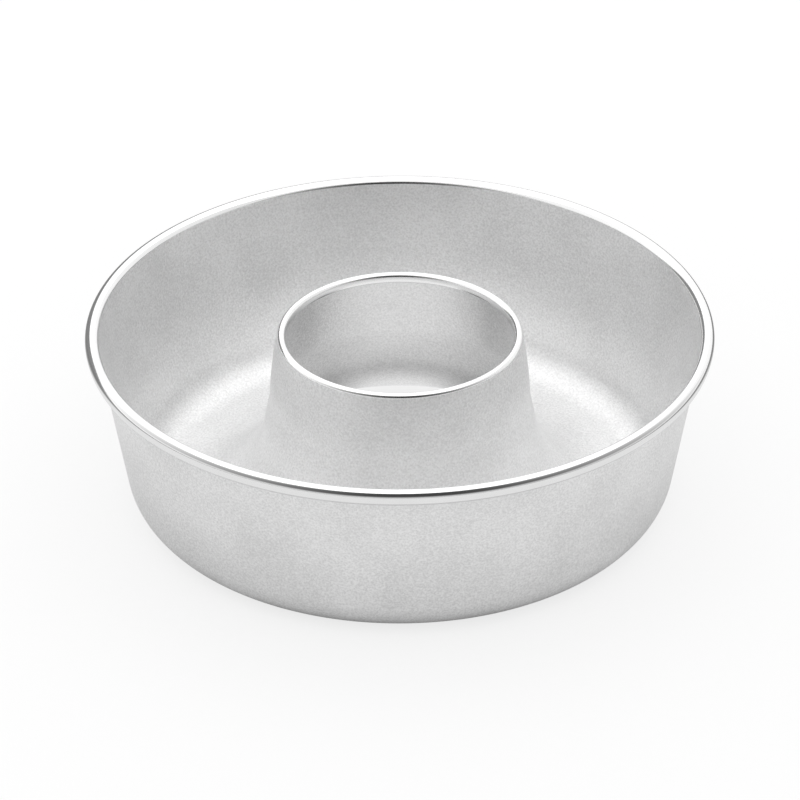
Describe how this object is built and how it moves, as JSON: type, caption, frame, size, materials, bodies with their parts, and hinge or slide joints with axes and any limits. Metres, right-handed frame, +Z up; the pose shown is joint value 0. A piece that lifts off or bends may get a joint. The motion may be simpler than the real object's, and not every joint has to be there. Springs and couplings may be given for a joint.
{
  "type": "savarin mould",
  "caption": "Round ring cake mould in thin aluminium: tapered wall with a rolled rim, round-bottomed channel and an open centre tube with a folded lip.",
  "frame": {"origin": "on the mould's axis, on the surface that it stands on", "axes": "+Z up along the mould's axis; the mould is round, so +X and +Y are any two level directions, and the wire's two ends meet at +Y"},
  "size_m": [0.24, 0.24, 0.0732],
  "materials": {
    "etched_aluminium": "fine even matte, etched after drawing; the rolled rim and the tube's lip are burnished bright",
    "galvanised_wire": "dull galvanised"
  },
  "bodies": {
    "root": {"ring_pan": "etched_aluminium", "rim_wire": "galvanised_wire"}
  },
  "joints": []
}
